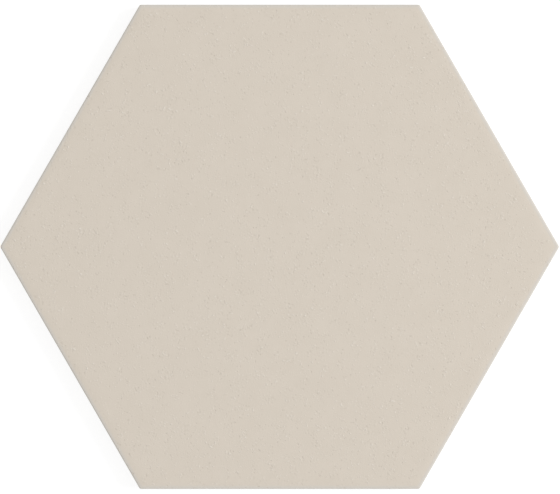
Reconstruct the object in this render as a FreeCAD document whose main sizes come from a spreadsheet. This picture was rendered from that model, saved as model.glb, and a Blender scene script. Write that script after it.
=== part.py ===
import FreeCAD, Part
import math
import os

import Sketcher
from FreeCAD import Vector

# A hexagonal floor tile of porcelain stoneware, dry-pressed and fired as one piece, lying face up.
# The origin is the middle of the bedding plane. X runs from corner to corner, Y from side to side and
# Z up through the face. The face is flat, falls away in a shallow cushion along its border and turns
# into the sides over a small arris. The sides stand upright to near the back, where they lean in so
# that mortar gets under the rim. The back is keyed for the adhesive with a honeycomb of shallow cells.

# Driving dimensions, in millimetres and degrees, each with what it measures.
DIMENSIONS = (
    ("across_flats", 218.0, "from one side to the opposite side"),
    ("thickness", 9.0, "from the bedding plane to the face"),
    ("corner_radius", 1.0, "rounding of the six upright corners"),
    ("cushion_width", 4.5, "width of the border over which the face falls"),
    ("cushion_drop", 0.3, "fall of that border where it would meet the side"),
    ("arris_radius", 0.8, "rounding between the border and the side"),
    ("foot_height", 3.0, "height below which the side leans in"),
    ("foot_inset", 0.6, "how far the side has leaned in at the bevel"),
    ("foot_bevel", 0.4, "width and height of the bevel round the back"),
    ("cell_width", 12.4, "width of a back cell at the bedding plane"),
    ("rib_width", 3.0, "width of the ribs between the cells"),
    ("cell_rings", 7, "rings of cells round the plain pad in the middle"),
    ("relief_depth", 0.7, "depth of the cells"),
    ("cell_draft", 30.0, "lean of the cell walls, for release from the die"),
    ("cutter_margin", 3.0, "how far the edge profile reaches past the tile"),
)
CELL_PITCH = "dims.cell_width + dims.rib_width"
SIDES = 6
NODE_NAME = "hexagon_tile"

# How the sketcher numbers the points of a line or an arc, and its own origin and horizontal axis.
START = 1
END = 2
CENTRE = 3
HORIZONTAL_AXIS = -1
ORIGIN_POINT = (HORIZONTAL_AXIS, START)


def make_sheet(doc):
    """The spreadsheet that drives every feature: name, value and meaning in each row."""
    sheet = doc.addObject("Spreadsheet::Sheet", "dims")
    for row, (name, value, meaning) in enumerate(DIMENSIONS, start=1):
        sheet.set(f"A{row}", name)
        sheet.set(f"B{row}", str(value))
        sheet.set(f"C{row}", meaning)
        sheet.setAlias(f"B{row}", name)
    doc.recompute()
    return sheet


def origin_feature(body, role):
    """A plane or an axis of the body's own origin, found by its role."""
    return next(feature for feature in body.Origin.OriginFeatures if feature.Role == role)


def new_sketch(body, name, role):
    """An empty sketch on one of the body's origin planes."""
    sketch = body.newObject("Sketcher::SketchObject", name)
    sketch.AttachmentSupport = [(origin_feature(body, role), "")]
    sketch.MapMode = "FlatFace"
    return sketch


def relate(sketch, kind, *places):
    """A relation between parts of the sketch, such as tangency."""
    sketch.addConstraint(Sketcher.Constraint(kind, *places))


def drive(sketch, name, formula, kind, *places):
    """A named dimension of the sketch, bound to the sheet by its formula."""
    sketch.addConstraint(Sketcher.Constraint(kind, *places))
    sketch.renameConstraint(sketch.ConstraintCount - 1, name)
    sketch.setExpression(f"Constraints.{name}", formula)


def on_circle(radius, degrees):
    """The point of a circle round the origin at that angle from the X axis."""
    turn = math.radians(degrees)
    return Vector(radius * math.cos(turn), radius * math.sin(turn), 0)


def draw_hexagon(sketch, width, formula, first_corner):
    """A hexagon of six equal sides round the sketch's origin, given its width across flats."""
    radius = width / math.sqrt(3)
    ring = sketch.addGeometry(Part.Circle(Vector(), Vector(0, 0, 1), radius), True)
    relate(sketch, "Coincident", ring, CENTRE, *ORIGIN_POINT)
    drive(sketch, "circumradius", f"({formula}) / sqrt(3)", "Radius", ring, radius)
    corners = [on_circle(radius, first_corner + number * 360 / SIDES) for number in range(SIDES)]
    sides = []
    for corner, following in zip(corners, corners[1:] + corners[:1]):
        sides.append(sketch.addGeometry(Part.LineSegment(corner, following), False))
    for side, following in zip(sides, sides[1:] + sides[:1]):
        relate(sketch, "Coincident", side, END, following, START)
        relate(sketch, "PointOnObject", side, START, ring)
    for side in sides[1:]:
        relate(sketch, "Equal", sides[0], side)
    return sides


def pad_slab(body, dims):
    """The pressed slab: a hexagon with two corners on the X axis, raised from the bedding plane."""
    outline = new_sketch(body, "slab_outline", "XY_Plane")
    sides = draw_hexagon(outline, dims.across_flats, "dims.across_flats", first_corner=0)
    relate(outline, "PointOnObject", sides[0], START, HORIZONTAL_AXIS)
    slab = body.newObject("PartDesign::Pad", "slab")
    slab.Profile = outline
    slab.setExpression("Length", "dims.thickness")
    body.Document.recompute()
    return slab


def round_corners(body, slab):
    """The six upright corners have the small radius of the die."""
    upright = []
    for number, edge in enumerate(slab.Shape.Edges, start=1):
        if abs(edge.tangentAt(edge.FirstParameter).z) > 0.5:
            upright.append(f"Edge{number}")
    corners = body.newObject("PartDesign::Fillet", "rounded_corners")
    corners.Base = (slab, upright)
    corners.setExpression("Radius", "dims.corner_radius")
    body.Document.recompute()


def draw_edge_profile(sketch, dims):
    """What is missing outside the edge, seen along a side: cushion, arris, land, lean and bevel."""
    side = dims.across_flats / 2
    face = dims.thickness
    border = side - dims.cushion_width
    foot = side - dims.foot_inset
    outside = side + dims.cutter_margin
    above = face + dims.cutter_margin
    below = -dims.cutter_margin

    # The cushion is level where it leaves the face. The arris touches the side and, from inside, the
    # cushion's circle, so the line through both centres meets the place where they join.
    cushion_radius = (dims.cushion_width**2 + dims.cushion_drop**2) / (2 * dims.cushion_drop)
    cushion_centre = Vector(border, face - cushion_radius, 0)
    arris_out = dims.cushion_width - dims.arris_radius
    arris_up = math.sqrt((cushion_radius - dims.arris_radius) ** 2 - arris_out**2)
    arris_centre = cushion_centre + Vector(arris_out, arris_up, 0)
    joint_turn = math.atan2(arris_up, arris_out)

    normal = Vector(0, 0, 1)
    cushion_circle = Part.Circle(cushion_centre, normal, cushion_radius)
    arris_circle = Part.Circle(arris_centre, normal, dims.arris_radius)
    cushion = sketch.addGeometry(Part.ArcOfCircle(cushion_circle, joint_turn, math.pi / 2), False)
    arris = sketch.addGeometry(Part.ArcOfCircle(arris_circle, 0, joint_turn), False)
    turns = (
        Vector(side, arris_centre.y, 0),
        Vector(side, dims.foot_height, 0),
        Vector(foot, dims.foot_bevel, 0),
        Vector(foot - dims.foot_bevel, 0, 0),
        Vector(foot - dims.foot_bevel, below, 0),
        Vector(outside, below, 0),
        Vector(outside, above, 0),
        Vector(border, above, 0),
        Vector(border, face, 0),
    )
    lines = []
    for start, end in zip(turns, turns[1:]):
        lines.append(sketch.addGeometry(Part.LineSegment(start, end), False))
    land, lean, bevel, under, floor, outer, ceiling, drop = lines

    for line, following in zip(lines, lines[1:]):
        relate(sketch, "Coincident", line, END, following, START)
    relate(sketch, "Coincident", drop, END, cushion, END)
    relate(sketch, "Vertical", cushion, CENTRE, cushion, END)
    relate(sketch, "Tangent", cushion, START, arris, END)
    relate(sketch, "Tangent", arris, START, land, START)
    for line in (land, under, outer, drop):
        relate(sketch, "Vertical", line)
    for line in (floor, ceiling):
        relate(sketch, "Horizontal", line)

    side_formula = "dims.across_flats / 2"
    border_formula = "dims.across_flats / 2 - dims.cushion_width"
    cushion_formula = "(dims.cushion_width^2 + dims.cushion_drop^2) / (2 * dims.cushion_drop)"
    foot_formula = "dims.foot_height"
    bevel_formula = "dims.foot_bevel"
    margin_formula = "dims.cutter_margin"
    drive(sketch, "cushion_radius", cushion_formula, "Radius", cushion, cushion_radius)
    drive(sketch, "arris_radius", "dims.arris_radius", "Radius", arris, dims.arris_radius)
    drive(sketch, "face", "dims.thickness", "DistanceY", *ORIGIN_POINT, drop, END, face)
    drive(sketch, "border", border_formula, "DistanceX", *ORIGIN_POINT, drop, END, border)
    drive(sketch, "side", side_formula, "DistanceX", *ORIGIN_POINT, land, END, side)
    drive(sketch, "foot_height", foot_formula, "DistanceY", *ORIGIN_POINT, land, END, dims.foot_height)
    drive(sketch, "foot_inset", "dims.foot_inset", "DistanceX", lean, END, land, END, dims.foot_inset)
    drive(sketch, "bevel_top", bevel_formula, "DistanceY", *ORIGIN_POINT, lean, END, dims.foot_bevel)
    drive(sketch, "bevel_width", bevel_formula, "DistanceX", bevel, END, lean, END, dims.foot_bevel)
    drive(sketch, "bevel_height", bevel_formula, "DistanceY", bevel, END, lean, END, dims.foot_bevel)
    drive(sketch, "margin_below", margin_formula, "DistanceY", under, END, *ORIGIN_POINT, dims.cutter_margin)
    drive(sketch, "margin_above", margin_formula, "DistanceY", drop, END, drop, START, dims.cutter_margin)
    drive(sketch, "margin_outside", margin_formula, "DistanceX", land, END, floor, END, dims.cutter_margin)


def shape_edges(body, dims):
    """One side's edge profile, cut along its whole length and turned to all six sides."""
    profile = new_sketch(body, "edge_profile", "YZ_Plane")
    draw_edge_profile(profile, dims)
    edge = body.newObject("PartDesign::Pocket", "edge")
    edge.Profile = profile
    edge.Midplane = True
    edge.setExpression("Length", "dims.across_flats * 2")
    body.Document.recompute()
    edges = body.newObject("PartDesign::PolarPattern", "six_edges")
    edges.Originals = [edge]
    edges.Axis = (origin_feature(body, "Z_Axis"), [""])
    edges.Angle = 360
    edges.Occurrences = SIDES
    body.Tip = edges
    body.Document.recompute()


def draw_cell(sketch, dims):
    """The first cell beside the middle pad, with two corners along Y, and a slant to repeat it by."""
    pitch = dims.cell_width + dims.rib_width
    sketch.setExpression("AttachmentOffset.Base.x", CELL_PITCH)
    sides = draw_hexagon(sketch, dims.cell_width, "dims.cell_width", first_corner=30)
    relate(sketch, "Vertical", sides[-1])
    slant = sketch.addGeometry(Part.LineSegment(Vector(), on_circle(pitch, 120)), True)
    relate(sketch, "Coincident", slant, START, *ORIGIN_POINT)
    relate(sketch, "Angle", *ORIGIN_POINT, slant, START, math.radians(120))
    drive(sketch, "pitch", CELL_PITCH, "Distance", slant, pitch)


def key_back(body, dims):
    """The honeycomb of the back: a rhombus of equal cells fills one third of it, and is turned twice."""
    doc = body.Document
    outline = new_sketch(body, "cell_outline", "XY_Plane")
    draw_cell(outline, dims)
    cell = body.newObject("PartDesign::Pocket", "cell")
    cell.Profile = outline
    cell.Reversed = True
    cell.setExpression("Length", "dims.relief_depth")
    cell.setExpression("TaperAngle", "-dims.cell_draft")
    doc.recompute()

    outward = doc.addObject("PartDesign::LinearPattern", "cells_outward")
    outward.Direction = (outline, ["H_Axis"])
    outward.setExpression("Length", f"(dims.cell_rings - 1) * ({CELL_PITCH})")
    outward.setExpression("Occurrences", "dims.cell_rings")
    slanting = doc.addObject("PartDesign::LinearPattern", "cells_slanting")
    slanting.Direction = (outline, ["Axis0"])
    slanting.setExpression("Length", f"dims.cell_rings * ({CELL_PITCH})")
    slanting.setExpression("Occurrences", "dims.cell_rings + 1")
    thirds = doc.addObject("PartDesign::PolarPattern", "cells_round")
    thirds.Axis = (origin_feature(body, "Z_Axis"), [""])
    thirds.Angle = 360
    thirds.Occurrences = 3

    honeycomb = body.newObject("PartDesign::MultiTransform", "honeycomb")
    honeycomb.Originals = [cell]
    for pattern in (outward, slanting, thirds):
        body.addObject(pattern)
    honeycomb.Transformations = [outward, slanting, thirds]
    body.Tip = honeycomb
    doc.recompute()


def make_tile(doc):
    """The whole tile as one body, whose label names its node."""
    dims = make_sheet(doc)
    body = doc.addObject("PartDesign::Body", "tile")
    body.Label = NODE_NAME
    slab = pad_slab(body, dims)
    round_corners(body, slab)
    shape_edges(body, dims)
    key_back(body, dims)
    return body


def check(doc, body):
    """Stops the build if any feature failed, a sketch is loose or the solid isn't sound."""
    for item in doc.Objects:
        if "Invalid" in item.State or "Error" in item.State:
            raise RuntimeError(f"{item.Name} failed: {item.State}")
        if item.TypeId == "Sketcher::SketchObject" and not item.FullyConstrained:
            raise RuntimeError(f"{item.Name} is not fully constrained")
    if body.Shape.isNull() or not body.Shape.isValid() or len(body.Shape.Solids) != 1:
        raise RuntimeError(f"{body.Label} is not one valid solid")


doc = FreeCAD.newDocument("floor_tile")
tile = make_tile(doc)
check(doc, tile)
os.makedirs("parts", exist_ok=True)
tile.Shape.exportStep(f"parts/{tile.Label}.step")
print(f"{tile.Label}: {tile.Shape.Volume / 1000:.1f} cm3 in {len(tile.Shape.Faces)} faces")
print(tile.Shape.BoundBox)
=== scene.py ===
import math

import bmesh
import bpy
from mathutils import Matrix, Vector, noise


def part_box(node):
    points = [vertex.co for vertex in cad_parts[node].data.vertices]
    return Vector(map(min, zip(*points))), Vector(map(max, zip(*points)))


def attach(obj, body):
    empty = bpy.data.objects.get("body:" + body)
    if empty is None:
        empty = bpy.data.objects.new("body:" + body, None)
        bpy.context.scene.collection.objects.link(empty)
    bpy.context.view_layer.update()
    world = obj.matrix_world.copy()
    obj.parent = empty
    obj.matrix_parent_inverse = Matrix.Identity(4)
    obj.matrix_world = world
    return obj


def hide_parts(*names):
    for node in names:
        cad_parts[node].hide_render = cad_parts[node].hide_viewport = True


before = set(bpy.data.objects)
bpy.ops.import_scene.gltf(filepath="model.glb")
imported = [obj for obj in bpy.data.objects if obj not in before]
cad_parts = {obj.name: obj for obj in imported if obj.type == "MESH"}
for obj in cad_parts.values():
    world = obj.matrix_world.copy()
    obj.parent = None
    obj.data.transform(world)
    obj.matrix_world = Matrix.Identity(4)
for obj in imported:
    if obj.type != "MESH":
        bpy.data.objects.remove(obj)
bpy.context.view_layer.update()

# The tile: one hexagon of porcelain stoneware, dry-pressed in a steel die, glazed matt and fired flat. The
# die gives it the cushioned border, the upright sides, the lean that lets mortar in under the rim and the
# honeycomb that keys the back. It lies loose, on its ribs and rim.
MM = 0.001
TOUCHING = 0.005 * MM
SIXTH = math.radians(60)
ALONG_Z = Vector((0, 0, 1))
tile_low, tile_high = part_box("hexagon_tile")
SIDE = tile_high.y
FACE = tile_high.z
FACE_DIVISIONS = 80
CUSHION_WIDTH = 4.5 * MM
CUSHION_DROP = 0.3 * MM
CUSHION_STEPS = 6
ARRIS_RADIUS = 0.8 * MM
ARRIS_STEPS = 6
CORNER_RADIUS = 1.0 * MM
CORNER_STEPS = 4
FOOT_HEIGHT = 3.0 * MM
FOOT_INSET = 0.6 * MM
FOOT_BEVEL = 0.4 * MM

cushion_radius = (CUSHION_WIDTH**2 + CUSHION_DROP**2) / (2 * CUSHION_DROP)
arris_turn = math.asin((CUSHION_WIDTH - ARRIS_RADIUS) / (cushion_radius - ARRIS_RADIUS))
arris_foot = FACE - cushion_radius + (cushion_radius - ARRIS_RADIUS) * math.cos(arris_turn)
flat = SIDE - CUSHION_WIDTH
flat_corner = flat / math.cos(SIXTH / 2)

# The flat face is six triangles round the middle, divided into an even lattice.
tile = bmesh.new()
bmesh.ops.create_circle(tile, cap_ends=True, cap_tris=True, segments=6, radius=flat_corner)
bmesh.ops.rotate(tile, matrix=Matrix.Rotation(SIXTH / 2, 3, "Z"), verts=tile.verts)
bmesh.ops.translate(tile, vec=FACE * ALONG_Z, verts=tile.verts)
bmesh.ops.subdivide_edges(tile, edges=tile.edges, cuts=FACE_DIVISIONS - 1, use_grid_fill=True)


def edge_steps():
    """The way down the edge, step by step: how far from the tile's axis and how high the next line lies."""
    for step in range(1, CUSHION_STEPS + 1):
        slope = arris_turn * step / CUSHION_STEPS
        yield flat + cushion_radius * math.sin(slope), FACE - cushion_radius * (1 - math.cos(slope))
    for step in range(1, ARRIS_STEPS + 1):
        slope = arris_turn + (math.pi / 2 - arris_turn) * step / ARRIS_STEPS
        yield SIDE - ARRIS_RADIUS * (1 - math.sin(slope)), arris_foot + ARRIS_RADIUS * math.cos(slope)
    yield SIDE, (arris_foot + FOOT_HEIGHT) / 2
    yield SIDE, FOOT_HEIGHT
    yield SIDE - FOOT_INSET / 2, (FOOT_HEIGHT + FOOT_BEVEL) / 2
    yield SIDE - FOOT_INSET, FOOT_BEVEL
    yield SIDE - FOOT_INSET - FOOT_BEVEL, 0


def pick(kind, geometry):
    """The items of one kind, such as vertices, among all that an operator gives back."""
    return [item for item in geometry if isinstance(item, kind)]


# The edge is the face's rim, drawn outwards and down line by line to the bevel round the back.
rim = [edge for edge in tile.edges if edge.is_boundary]
reach, height = flat, FACE
for next_reach, next_height in edge_steps():
    drawn = bmesh.ops.extrude_edge_only(tile, edges=rim)["geom"]
    rim = pick(bmesh.types.BMEdge, drawn)
    line = pick(bmesh.types.BMVert, drawn)
    spread = next_reach / reach
    bmesh.ops.scale(tile, vec=(spread, spread, 1), verts=line)
    bmesh.ops.translate(tile, vec=(next_height - height) * ALONG_Z, verts=line)
    reach, height = next_reach, next_height


def on_corner_line(vert):
    """Whether the vertex is on one of the six lines that run down the corners from the flat face."""
    turns = math.atan2(vert.co.y, vert.co.x) / SIXTH
    off_line = abs(turns - round(turns)) * SIXTH * vert.co.xy.length
    return off_line < TOUCHING and vert.co.xy.length > flat_corner - TOUCHING


# The six upright corners are rounded, as the die's are.
corner_lines = [edge for edge in tile.edges if all(map(on_corner_line, edge.verts))]
bmesh.ops.bevel(
    tile,
    geom=corner_lines,
    offset=CORNER_RADIUS * math.tan(SIXTH / 2),
    offset_type="OFFSET",
    segments=CORNER_STEPS,
    profile=0.5,
    affect="EDGES",
    material=-1,
)

# The back is keyed with shallow cells. One cell, with half a rib all round, is a hexagon that looks down
# and is inset and sunk over a soft lip, a drafted wall and a soft foot.
CELL_WIDTH = 12.4 * MM
CELL_RINGS = 7
CELL_CORNER = 1.0 * MM
CELL_DRAFT = math.radians(30)
RIB_WIDTH = 3.0 * MM
RELIEF_DEPTH = 0.7 * MM
LIP = 0.12 * MM
LIP_REACH = 1.5 * LIP
CELL_FOOT_REACH = 2 * LIP
pitch = CELL_WIDTH + RIB_WIDTH
cell_corner_reach = pitch / math.sqrt(3)
wall_depth = RELIEF_DEPTH - 2 * LIP
wall_reach = wall_depth * math.tan(CELL_DRAFT)


def distance_from_middle(face):
    """How far the middle of a face is from the axis that the cell stands on."""
    return face.calc_center_median().xy.length


back = bmesh.new()
bmesh.ops.create_circle(back, cap_ends=True, segments=6, radius=cell_corner_reach)
bmesh.ops.reverse_faces(back, faces=back.faces)
bmesh.ops.inset_individual(back, faces=back.faces, thickness=RIB_WIDTH / 2 - LIP, use_even_offset=True)
bmesh.ops.bevel(
    back,
    geom=min(back.faces, key=distance_from_middle).verts,
    offset=CELL_CORNER,
    offset_type="OFFSET",
    segments=1,
    profile=0.5,
    affect="VERTICES",
    material=-1,
)
cell_floor = min(back.faces, key=distance_from_middle)
for inset, sink in ((LIP_REACH, LIP), (wall_reach, wall_depth), (CELL_FOOT_REACH, LIP)):
    bmesh.ops.inset_individual(back, faces=[cell_floor], thickness=inset, depth=-sink, use_even_offset=True)

# The cell is repeated in seven rings round the middle, which keeps a plain pad.
one_cell = back.verts[:] + back.edges[:] + back.faces[:]
along_row = Vector((pitch, 0, 0))
to_next_row = Matrix.Rotation(SIXTH, 3, "Z") @ along_row
for row in range(-CELL_RINGS, CELL_RINGS + 1):
    for column in range(-CELL_RINGS - min(row, 0), CELL_RINGS - max(row, 0) + 1):
        if row or column:
            copied = bmesh.ops.duplicate(back, geom=one_cell)["geom"]
            copied_verts = pick(bmesh.types.BMVert, copied)
            bmesh.ops.translate(back, vec=along_row * column + to_next_row * row, verts=copied_verts)
bmesh.ops.delete(back, geom=pick(bmesh.types.BMVert, one_cell), context="VERTS")
bmesh.ops.create_circle(back, cap_ends=True, segments=6, radius=cell_corner_reach)
bmesh.ops.remove_doubles(back, verts=back.verts, dist=TOUCHING)
back_mesh = bpy.data.meshes.new("back")
back.to_mesh(back_mesh)
back.free()
tile.from_mesh(back_mesh)
bpy.data.meshes.remove(back_mesh)

# A plain rim closes the back between its bevel and the outermost ribs.
open_edges = [edge for edge in tile.edges if edge.is_boundary]
bmesh.ops.triangle_fill(tile, use_beauty=True, edges=open_edges)
bmesh.ops.triangulate(tile, faces=[face for face in tile.faces if len(face.verts) > 4])
bmesh.ops.recalc_face_normals(tile, faces=tile.faces)

# Pressing and firing leave the face in faint waves, a few hundredths of a millimetre deep. Each of the
# octaves that make up a wave is twice as fine as the last.
WAVE_DEPTH = 0.03 * MM
WAVES_PER_METRE = 70
WAVE_SMOOTHNESS = 0.7
WAVE_OCTAVES = 3
for vert in tile.verts:
    if vert.co.z > arris_foot:
        wave = noise.fractal(vert.co * WAVES_PER_METRE, WAVE_SMOOTHNESS, 2.0, WAVE_OCTAVES)
        vert.co.z -= WAVE_DEPTH * max(0, (1 + wave) / 2)

# The glaze ends with the arris, and below it is bare body. Lines past 30 degrees are crisp.
GLAZED, BARE = 0, 1
CRISP = math.radians(30)
for face in tile.faces:
    face.smooth = True
    face.material_index = GLAZED if face.calc_center_median().z > arris_foot else BARE
for edge in tile.edges:
    edge.smooth = edge.calc_face_angle() < CRISP
tile_mesh = bpy.data.meshes.new("tile")
tile.to_mesh(tile_mesh)
tile.free()


def put_in_scene(name, data):
    """A new object of that mesh, lamp or camera, at the origin."""
    made = bpy.data.objects.new(name, data)
    bpy.context.scene.collection.objects.link(made)
    return made


tile_piece = put_in_scene("tile", tile_mesh)


def add(nodes, kind, **settings):
    """A new shader node. Each setting is a property of it or, with spaces for underscores, an input."""
    node = nodes.new(kind)
    for name, value in settings.items():
        if hasattr(node, name):
            setattr(node, name, value)
        else:
            node.inputs[name.replace("_", " ")].default_value = value
    return node


def calculate(tree, operation, first, second):
    """The outcome of a sum on two values, each a number or another node's output."""
    node = add(tree.nodes, "ShaderNodeMath", operation=operation)
    for place, value in zip(node.inputs, (first, second)):
        if isinstance(value, (int, float)):
            place.default_value = value
        else:
            tree.links.new(value, place)
    return node.outputs[0]


def remap(tree, value, low, high, to_low, to_high, interpolation="LINEAR"):
    """The value moved from one range to another, and held at that range's ends."""
    node = add(tree.nodes, "ShaderNodeMapRange", interpolation_type=interpolation)
    for name, number in (("From Min", low), ("From Max", high), ("To Min", to_low), ("To Max", to_high)):
        node.inputs[name].default_value = number
    tree.links.new(value, node.inputs["Value"])
    return node.outputs["Result"]


# Fired grain, in the glaze and in the bare body: here and there a grain stands proud or has left a pit, in
# loose crowds, and between them the surface is finely rough. Rareness, from 0 to 0.3, is how few of the
# grains do so. The noise is turned, so that its own lattice doesn't lie along the face.
NOISE_RANGE = (0.3, 0.7)
NOISE_MIDDLE = 0.5
NOISE_TURN = (0.5, 0.4, 0.3)
FINER_THAN_GRAINS = 2.5
CROWDS_PER_GRAIN = 0.2
CROWDING = 0.06
GRAIN_SLOPE = 0.15
grain = bpy.data.node_groups.new("Fired grain", "ShaderNodeTree")
grain.interface.new_socket("Vector", in_out="INPUT", socket_type="NodeSocketVector")
for name in ("Grains per metre", "Rareness", "Fine roughness"):
    grain.interface.new_socket(name, in_out="INPUT", socket_type="NodeSocketFloat")
for name in ("Height", "Proud", "Pits"):
    grain.interface.new_socket(name, in_out="OUTPUT", socket_type="NodeSocketFloat")
given = add(grain.nodes, "NodeGroupInput")
turned = add(grain.nodes, "ShaderNodeMapping", Rotation=NOISE_TURN)
grain.links.new(given.outputs["Vector"], turned.inputs["Vector"])
coarse = add(grain.nodes, "ShaderNodeTexNoise", Detail=1.0, Roughness=0.3)
fine = add(grain.nodes, "ShaderNodeTexNoise", Detail=2.0, Roughness=0.5)
crowds = add(grain.nodes, "ShaderNodeTexNoise", Detail=1.0, Roughness=0.5)
for texture, fineness in ((coarse, 1.0), (fine, FINER_THAN_GRAINS), (crowds, CROWDS_PER_GRAIN)):
    grain.links.new(turned.outputs["Vector"], texture.inputs["Vector"])
    scale = calculate(grain, "MULTIPLY", given.outputs["Grains per metre"], fineness)
    grain.links.new(scale, texture.inputs["Scale"])
sparser = remap(grain, crowds.outputs["Fac"], *NOISE_RANGE, CROWDING, -CROWDING)
rareness = calculate(grain, "ADD", given.outputs["Rareness"], sparser)
swing = calculate(grain, "SUBTRACT", coarse.outputs["Fac"], NOISE_MIDDLE)
peaks = calculate(grain, "SUBTRACT", swing, rareness)
troughs = calculate(grain, "SUBTRACT", calculate(grain, "MULTIPLY", swing, -1.0), rareness)
proud = remap(grain, peaks, 0.0, GRAIN_SLOPE, 0.0, 1.0)
pits = remap(grain, troughs, 0.0, GRAIN_SLOPE, 0.0, 1.0)
fine_height = calculate(grain, "MULTIPLY", fine.outputs["Fac"], given.outputs["Fine roughness"])
grain_height = calculate(grain, "ADD", calculate(grain, "SUBTRACT", proud, pits), fine_height)
result = add(grain.nodes, "NodeGroupOutput")
for name, value in (("Height", grain_height), ("Proud", proud), ("Pits", pits)):
    grain.links.new(value, result.inputs[name])


def new_material(name):
    """A new material, with its node tree and the shader in it."""
    material = bpy.data.materials.new(name)
    material.use_nodes = True
    return material, material.node_tree, material.node_tree.nodes["Principled BSDF"]


def find_place(tree):
    """Where a point of the surface is on the tile, and how high above the back."""
    place = add(tree.nodes, "ShaderNodeTexCoord").outputs["Object"]
    split = add(tree.nodes, "ShaderNodeSeparateXYZ")
    tree.links.new(place, split.inputs["Vector"])
    return place, split.outputs["Z"]


def noise_at(tree, place, **settings):
    """How strong a noise is at a place."""
    texture = add(tree.nodes, "ShaderNodeTexNoise", **settings)
    tree.links.new(place, texture.inputs["Vector"])
    return texture.outputs["Fac"]


def mix_colours(tree, share, first, second):
    """One colour passing into another, each a colour or another node's output."""
    node = add(tree.nodes, "ShaderNodeMix", data_type="RGBA")
    tree.links.new(share, node.inputs[0])
    for place, colour in ((node.inputs[6], first), (node.inputs[7], second)):
        if isinstance(colour, tuple):
            place.default_value = (*colour, 1)
        else:
            tree.links.new(colour, place)
    return node.outputs[2]


def give_relief(tree, shader, height, full_height):
    """Relief in the shader's surface, as high as the full height where the given height is 1."""
    bump = add(tree.nodes, "ShaderNodeBump", Distance=full_height)
    tree.links.new(height, bump.inputs["Height"])
    tree.links.new(bump.outputs["Normal"], shader.inputs["Normal"])


# The matt glaze is a warm greige, even but for a faint cloudiness. Grit shows through it as small bumps and
# pits. A grain that stands proud is painted a little paler, a painted highlight, and a pit a little darker,
# painted shade in it. Over the arris and the last millimetre of the cushion the glaze draws thin and is
# painted greyer there, partly as thin glaze and partly as painted shade where the edge turns down.
GLAZE = (0.683, 0.615, 0.531)
GLAZE_CLOUD = (0.666, 0.599, 0.515)
# Painted highlight on proud grains and painted shade in pits, over the glaze's own colour.
GLAZE_PROUD_HIGHLIGHT = (0.740, 0.682, 0.600)
GLAZE_PIT_SHADE = (0.646, 0.580, 0.496)
# Greyer colour of the thin glaze over the arris, which is partly painted shade where the edge turns down.
GLAZE_THIN_AND_EDGE_SHADE = (0.648, 0.607, 0.549)
GLAZE_ROUGHNESS = (0.66, 0.74)
GLAZE_RELIEF = 0.105 * MM
THIN_AND_SHADED_FROM = FACE - 0.10 * MM
THINNEST_AND_DARKEST_FROM = FACE - 0.22 * MM
glaze, tree, shader = new_material("matt_glaze")
shader.inputs["Specular IOR Level"].default_value = 0.35
place, height_up = find_place(tree)
clouds = noise_at(tree, place, Scale=90.0, Detail=4.0, Roughness=0.75)
cloudy = remap(tree, clouds, *NOISE_RANGE, 0.0, 1.0)
grit = add(
    tree.nodes,
    "ShaderNodeGroup",
    node_tree=grain,
    Grains_per_metre=1100.0,
    Rareness=0.163,
    Fine_roughness=0.5,
)
tree.links.new(place, grit.inputs["Vector"])
colour = mix_colours(tree, cloudy, GLAZE, GLAZE_CLOUD)
# The face's rim is painted greyer towards the arris: thin glaze, and painted shade on the turning edge.
thin_and_edge_shaded = remap(tree, height_up, THINNEST_AND_DARKEST_FROM, THIN_AND_SHADED_FROM, 1.0, 0.0, "SMOOTHSTEP")
colour = mix_colours(tree, thin_and_edge_shaded, colour, GLAZE_THIN_AND_EDGE_SHADE)
# Proud grains are painted paler as a highlight, and pits painted darker as shade.
colour = mix_colours(tree, grit.outputs["Proud"], colour, GLAZE_PROUD_HIGHLIGHT)
colour = mix_colours(tree, grit.outputs["Pits"], colour, GLAZE_PIT_SHADE)
tree.links.new(colour, shader.inputs["Base Color"])
tree.links.new(remap(tree, cloudy, 0.0, 1.0, *GLAZE_ROUGHNESS), shader.inputs["Roughness"])
give_relief(tree, shader, grit.outputs["Height"], GLAZE_RELIEF)

# The bare body of the sides and back is a little darker, greyer and rougher than the glaze, with fine dark
# and light specks. Glaze mist fades out below the arris, the die's wall has dragged fine upright lines down
# the sides, and what touched the kiln's rollers has a dusting of white wash.
BODY = (0.66, 0.605, 0.53)
BODY_CLOUD = (0.62, 0.562, 0.485)
BODY_PROUD = (0.74, 0.70, 0.63)
BODY_PIT = (0.36, 0.315, 0.265)
BODY_PIT_SHARE = 0.6
BODY_ROUGHNESS = 0.88
BODY_RELIEF = 0.06 * MM
MIST_TOP = 7.7 * MM
MIST_FOOT = 5.7 * MM
MIST_RAGGEDNESS = 3.0 * MM
MIST_ROUGHNESS = 0.7
DRAG_LINES_PER_METRE = 1800.0
DRAG_SHORTENING = 0.04
WASH = (0.80, 0.79, 0.765)
WASH_PATCHES = (0.40, 0.56)
WASH_THICKNESS = (0.15, 0.8)
ROLLER_REACH = 0.25 * MM
body, tree, shader = new_material("bare_body")
shader.inputs["Specular IOR Level"].default_value = 0.25
place, height_up = find_place(tree)
clouds = noise_at(tree, place, Scale=120.0, Detail=5.0, Roughness=0.6)
grit = add(
    tree.nodes,
    "ShaderNodeGroup",
    node_tree=grain,
    Grains_per_metre=2700.0,
    Rareness=0.12,
    Fine_roughness=0.8,
)
tree.links.new(place, grit.inputs["Vector"])
colour = mix_colours(tree, remap(tree, clouds, *NOISE_RANGE, 0.0, 1.0), BODY, BODY_CLOUD)
colour = mix_colours(tree, grit.outputs["Proud"], colour, BODY_PROUD)
dark_specks = calculate(tree, "MULTIPLY", grit.outputs["Pits"], BODY_PIT_SHARE)
colour = mix_colours(tree, dark_specks, colour, BODY_PIT)
on_rollers = remap(tree, height_up, 0.0, ROLLER_REACH, 1.0, 0.0)
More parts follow.
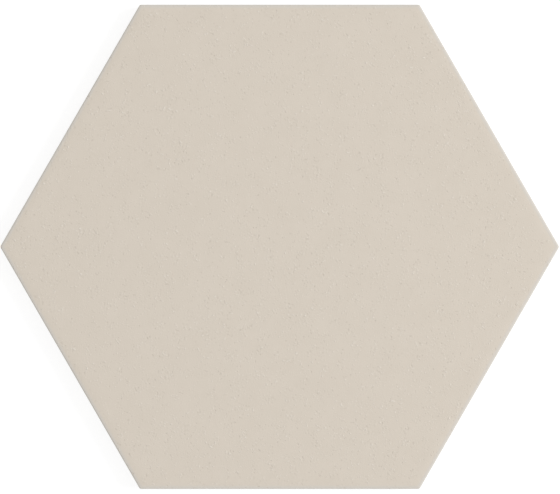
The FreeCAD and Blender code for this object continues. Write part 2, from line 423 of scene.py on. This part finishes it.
washed = calculate(tree, "MULTIPLY", remap(tree, clouds, *WASH_PATCHES, *WASH_THICKNESS), on_rollers)
colour = mix_colours(tree, washed, colour, WASH)
unevenness = calculate(tree, "SUBTRACT", clouds, NOISE_MIDDLE)
ragged = calculate(tree, "ADD", height_up, calculate(tree, "MULTIPLY", unevenness, MIST_RAGGEDNESS))
misted = remap(tree, ragged, MIST_FOOT, MIST_TOP, 0.0, 1.0, "SMOOTHSTEP")
colour = mix_colours(tree, misted, colour, GLAZE)
tree.links.new(colour, shader.inputs["Base Color"])
tree.links.new(remap(tree, misted, 0.0, 1.0, BODY_ROUGHNESS, MIST_ROUGHNESS), shader.inputs["Roughness"])
stretched = add(tree.nodes, "ShaderNodeMapping", Scale=(1, 1, DRAG_SHORTENING))
tree.links.new(place, stretched.inputs["Vector"])
drag = noise_at(tree, stretched.outputs["Vector"], Scale=DRAG_LINES_PER_METRE, Detail=2.0, Roughness=0.6)
give_relief(tree, shader, calculate(tree, "ADD", grit.outputs["Height"], drag), BODY_RELIEF)

tile_mesh.materials.append(glaze)
tile_mesh.materials.append(body)
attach(tile_piece, "root")
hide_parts("hexagon_tile")


def seen_directly(tree):
    """1 on what the camera sees, straight, mirrored or through glass, and 0 on light that falls on things."""
    rays = add(tree.nodes, "ShaderNodeLightPath")
    seen = calculate(tree, "MAXIMUM", rays.outputs["Is Camera Ray"], rays.outputs["Is Glossy Ray"])
    return calculate(tree, "MAXIMUM", seen, rays.outputs["Is Transmission Ray"])


# The light is an even white room with one large soft lamp to the right, which gives about a third of the
# light on the face, draws out its grain and darkens the left edges.
WHITE = (1, 1, 1, 1)
ROOM_LIGHT = 0.685
LAMP_POWER = 50
LAMP_SIZE = 1.2
LAMP_DISTANCE = 3.2
LAMP_ELEVATION = math.radians(38)
LAMP_BEARING = math.radians(6)
room = bpy.data.worlds.new("white_room")
room.use_nodes = True
tree = room.node_tree
tree.nodes["Background"].inputs["Color"].default_value = WHITE
room_strength = remap(tree, seen_directly(tree), 0.0, 1.0, ROOM_LIGHT, 1.0)
tree.links.new(room_strength, tree.nodes["Background"].inputs["Strength"])
bpy.context.scene.world = room
lamp_light = bpy.data.lights.new("lamp", "AREA")
lamp_light.shape = "DISK"
lamp_light.size = LAMP_SIZE
lamp_light.energy = LAMP_POWER
lamp = put_in_scene("lamp", lamp_light)
lamp_turn = Matrix.Rotation(LAMP_BEARING, 3, "Z") @ Matrix.Rotation(-LAMP_ELEVATION, 3, "Y")
towards_lamp = lamp_turn @ Vector((1, 0, 0))
lamp.location = LAMP_DISTANCE * towards_lamp
lamp.rotation_euler = towards_lamp.to_track_quat("Z", "Y").to_euler()

# The floor is a large white sheet that keeps a faint shadow of the tile. To the eye its glow tops up the
# room's light to white, so that the sheet ends unseen, and that glow lights nothing else.
FLOOR_SIZE = 4
FLOOR_GAP = 0.02 * MM
FLOOR_GREY_LIT = 0.8
FLOOR_GREY_SEEN = 0.3
FLOOR_GLOW = 1 - FLOOR_GREY_SEEN * ROOM_LIGHT
sheet = bmesh.new()
bmesh.ops.create_grid(sheet, x_segments=1, y_segments=1, size=FLOOR_SIZE)
bmesh.ops.translate(sheet, vec=-FLOOR_GAP * ALONG_Z, verts=sheet.verts)
floor_mesh = bpy.data.meshes.new("floor")
sheet.to_mesh(floor_mesh)
sheet.free()
floor = put_in_scene("floor", floor_mesh)
paper, tree, shader = new_material("white_paper")
shader.inputs["Roughness"].default_value = 1.0
shader.inputs["Specular IOR Level"].default_value = 0.0
shader.inputs["Emission Color"].default_value = WHITE
seen = seen_directly(tree)
floor_colour = mix_colours(tree, seen, (FLOOR_GREY_LIT,) * 3, (FLOOR_GREY_SEEN,) * 3)
tree.links.new(floor_colour, shader.inputs["Base Color"])
tree.links.new(calculate(tree, "MULTIPLY", seen, FLOOR_GLOW), shader.inputs["Emission Strength"])
floor_mesh.materials.append(paper)

# The camera looks straight down, and the tile fills the picture from corner to corner. The pixels are those
# of the picture's frame where the left and the right corner lie.
IMAGE_WIDTH = 560
IMAGE_HEIGHT = 494
LEFT_CORNER = 0.48
RIGHT_CORNER = 558.84
CORNER_ROW = 246.8
SENSOR_WIDTH = 36
CAMERA_HEIGHT = 1.2
metres_per_pixel = (tile_high.x - tile_low.x) / (RIGHT_CORNER - LEFT_CORNER)
camera_lens = bpy.data.cameras.new("camera")
camera_lens.sensor_width = SENSOR_WIDTH
camera_lens.lens = SENSOR_WIDTH * CAMERA_HEIGHT / (IMAGE_WIDTH * metres_per_pixel)
camera = put_in_scene("camera", camera_lens)
camera.location = (
    (IMAGE_WIDTH - LEFT_CORNER - RIGHT_CORNER) / 2 * metres_per_pixel,
    (CORNER_ROW - IMAGE_HEIGHT / 2) * metres_per_pixel,
    arris_foot + CAMERA_HEIGHT,
)
bpy.context.scene.camera = camera
bpy.context.scene.view_settings.view_transform = "Standard"
